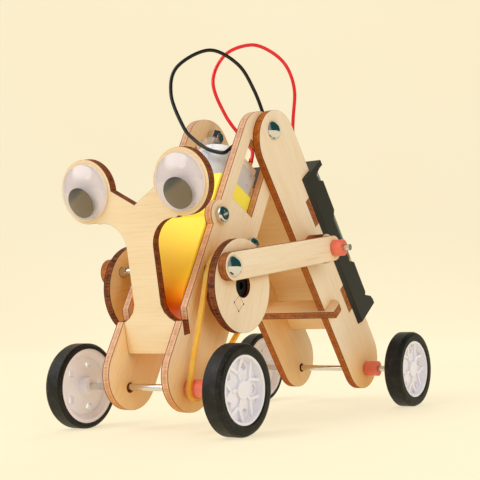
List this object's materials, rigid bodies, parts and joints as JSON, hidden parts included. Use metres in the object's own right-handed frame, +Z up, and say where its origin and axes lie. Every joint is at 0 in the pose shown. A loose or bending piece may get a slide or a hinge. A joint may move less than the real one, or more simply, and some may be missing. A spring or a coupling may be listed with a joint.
{
  "type": "plywood crawling robot kit",
  "caption": "Battery-powered plywood robot: hinged leg pairs on wheels, motor-driven crank disks and rods that swing the rear legs, belt drive and googly eyes.",
  "frame": {"origin": "on the floor, on the mid-plane, directly under the front axle", "axes": "the face looks along -Y, +X is the robot's left side, +Z is up"},
  "size_m": [0.067, 0.1227, 0.1205],
  "materials": {
    "plywood": "pale laser-cut birch plywood with burnt brown edges",
    "yellow_plastic": "glossy moulded yellow",
    "white_plastic": "moulded white",
    "clear_plastic": "clear moulded",
    "eye_white": "white disc under a clear dome",
    "pupil_black": "dark loose disc",
    "black_plastic": "black moulded",
    "screw_steel": "bright plated",
    "axle_steel": "drawn steel wire",
    "black_screw": "black oxide",
    "can_steel": "pressed plated can",
    "brass": "thin stamped",
    "red_tube": "soft translucent coral red",
    "rubber_band": "amber rubber",
    "tyre": "black rubber",
    "hub_plastic": "moulded cool white",
    "wire_red": "red insulation",
    "wire_black": "black insulation",
    "cell_wrap": "plain printed wrap without lettering"
  },
  "bodies": {
    "front_frame": {"front_leg_left": "plywood", "front_leg_right": "plywood", "face_plate": "plywood", "gearbox_half_left": "yellow_plastic", "gearbox_half_right": "yellow_plastic", "gear_pin": "axle_steel", "motor_can": "can_steel", "motor_end_cap": "white_plastic", "motor_terminals": "brass", "motor_strap": "clear_plastic", "motor_screws": "screw_steel", "motor_nuts": "screw_steel", "hinge_pins": "screw_steel", "hinge_nuts": "screw_steel", "drive_belt": "rubber_band", "eye_backs": "eye_white", "eye_domes": "clear_plastic", "wire_black_front": "wire_black", "wire_red_front": "wire_red"},
    "rear_legs": {"rear_leg_left": "plywood", "rear_leg_right": "plywood", "rear_panel": "plywood", "cross_shelf": "plywood", "rod_axle": "axle_steel", "rod_spacers": "plywood", "rod_collars": "red_tube", "battery_holder": "black_plastic", "battery_cells": "cell_wrap", "cell_springs": "screw_steel", "wire_black_rear": "wire_black", "wire_red_rear": "wire_red"},
    "crank": {"output_shaft": "white_plastic", "crank_disk_left": "plywood", "crank_disk_right": "plywood", "drive_pulley": "plywood", "crank_screws": "black_screw", "crank_pins": "screw_steel"},
    "rod_left": {"drive_rod_left": "plywood"},
    "rod_right": {"drive_rod_right": "plywood"},
    "front_axle": {"front_axle_shaft": "axle_steel", "belt_sleeve": "red_tube", "front_collar": "red_tube", "front_hub_left": "hub_plastic", "front_hub_right": "hub_plastic", "front_tyre_left": "tyre", "front_tyre_right": "tyre"},
    "rear_axle": {"rear_axle_shaft": "axle_steel", "rear_collars": "red_tube", "rear_hub_left": "hub_plastic", "rear_hub_right": "hub_plastic", "rear_tyre_left": "tyre", "rear_tyre_right": "tyre"},
    "third_gear": {"third_gear": "white_plastic"},
    "second_gear": {"second_gear": "white_plastic"},
    "crown_gear": {"crown_gear": "white_plastic"},
    "motor_rotor": {"motor_rotor": "can_steel"},
    "pupil_left": {"pupil_left": "pupil_black"},
    "pupil_right": {"pupil_right": "pupil_black"}
  },
  "joints": [
    {"name": "leg_fold", "type": "hinge", "parent": "front_frame", "child": "rear_legs", "pos_m": [0, 0.04196, 0.08921], "axis": [1, 0, 0], "range_deg": [-2.5, 16]},
    {"name": "crank_spin", "type": "hinge", "parent": "front_frame", "child": "crank", "pos_m": [0, 0.01505, 0.04067], "axis": [1, 0, 0], "range_deg": [-67.6, 11.4]},
    {"name": "rod_left_pivot", "type": "hinge", "parent": "crank", "child": "rod_left", "pos_m": [0.0218, 0.00721, 0.04586], "axis": [1, 0, 0], "range_deg": [-11.7, 69.3]},
    {"name": "rod_right_pivot", "type": "hinge", "parent": "crank", "child": "rod_right", "pos_m": [-0.0218, 0.00721, 0.04586], "axis": [1, 0, 0], "range_deg": [-11.7, 69.3]},
    {"name": "front_wheels_spin", "type": "hinge", "parent": "front_frame", "child": "front_axle", "pos_m": [0, 0, 0.0125], "axis": [1, 0, 0], "range_deg": [-257.6, 41.1]},
    {"name": "rear_wheels_spin", "type": "hinge", "parent": "rear_legs", "child": "rear_axle", "pos_m": [0, 0.097, 0.0125], "axis": [1, 0, 0], "continuous": true},
    {"name": "third_gear_spin", "type": "hinge", "parent": "front_frame", "child": "third_gear", "pos_m": [0, 0.0199, 0.04942], "axis": [1, 0, 0], "range_deg": [-25.3, 156.4]},
    {"name": "second_gear_spin", "type": "hinge", "parent": "front_frame", "child": "second_gear", "pos_m": [0, 0.01505, 0.04067], "axis": [1, 0, 0], "range_deg": [-363.6, 57.7]},
    {"name": "crown_gear_spin", "type": "hinge", "parent": "front_frame", "child": "crown_gear", "pos_m": [0, 0.0199, 0.04942], "axis": [1, 0, 0], "range_deg": [-133.2, 847.2]},
    {"name": "motor_spin", "type": "hinge", "parent": "front_frame", "child": "motor_rotor", "pos_m": [0, 0.01505, 0.04067], "axis": [0, 0.4848, 0.8746], "range_deg": [-496.8, 3174.1]},
    {"name": "pupil_left_roll", "type": "hinge", "parent": "front_frame", "child": "pupil_left", "pos_m": [0.0174, -0.00858, 0.06867], "axis": [0, -0.9853, -0.1711], "continuous": true},
    {"name": "pupil_right_roll", "type": "hinge", "parent": "front_frame", "child": "pupil_right", "pos_m": [-0.0174, -0.00858, 0.06867], "axis": [0, -0.9853, -0.1711], "continuous": true}
  ],
  "couplings": [
    {"joint": "crank_spin", "follows": "leg_fold", "ratio": -4.163},
    {"joint": "rod_left_pivot", "follows": "leg_fold", "ratio": 4.27},
    {"joint": "rod_right_pivot", "follows": "leg_fold", "ratio": 4.27},
    {"joint": "front_wheels_spin", "follows": "leg_fold", "ratio": -16.038},
    {"joint": "third_gear_spin", "follows": "leg_fold", "ratio": 9.7137},
    {"joint": "second_gear_spin", "follows": "leg_fold", "ratio": -22.665},
    {"joint": "crown_gear_spin", "follows": "leg_fold", "ratio": 52.886},
    {"joint": "motor_spin", "follows": "leg_fold", "ratio": 198.32}
  ]
}
